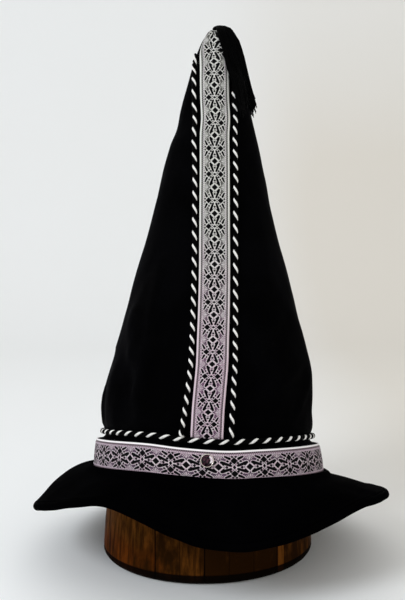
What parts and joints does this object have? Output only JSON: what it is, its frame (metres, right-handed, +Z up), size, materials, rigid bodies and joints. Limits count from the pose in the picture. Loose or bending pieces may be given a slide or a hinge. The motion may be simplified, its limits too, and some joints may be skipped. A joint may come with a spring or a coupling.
{
  "type": "wizard hat on a wooden hat block",
  "caption": "Tall black velvet wizard hat with a drooping wavy brim, woven star-pattern ribbons, twisted cords, a set stone and a thread tassel, on an oval laminated wooden hat block.",
  "frame": {"origin": "centre of the hat block's flat foot, on the surface it stands on", "axes": "+Z up along the block, -Y the hat's front with the stone and the upright ribbon, +X to the hat's tassel side"},
  "size_m": [0.304, 0.2968, 0.4678],
  "materials": {
    "crown": "black velvet with a soft bluish sheen at grazing angles",
    "brim": "black velvet, double layer with a soft rolled edge",
    "band_ribbon": "jacquard ribbon, silver lilac on black, with raised dotted edges",
    "front_ribbon": "jacquard ribbon, silver white on black, with raised dotted edges",
    "left_cord": "three-strand twisted cord, one white strand and two black",
    "right_cord": "three-strand twisted cord, one white strand and two black",
    "base_cord": "three-strand twisted cord, one white strand and two black",
    "stone_setting": "bright silver-coloured bezel",
    "stone": "clear faceted crystal with a foiled back",
    "tassel": "black rayon thread",
    "hat_block": "laminated planks, warm brown varnish, darker towards the foot"
  },
  "bodies": {
    "root": {"crown": "crown", "brim": "brim", "band_ribbon": "band_ribbon", "front_ribbon": "front_ribbon", "left_cord": "left_cord", "right_cord": "right_cord", "base_cord": "base_cord", "stone_setting": "stone_setting", "stone": "stone", "tassel": "tassel", "hat_block": "hat_block"}
  },
  "joints": []
}
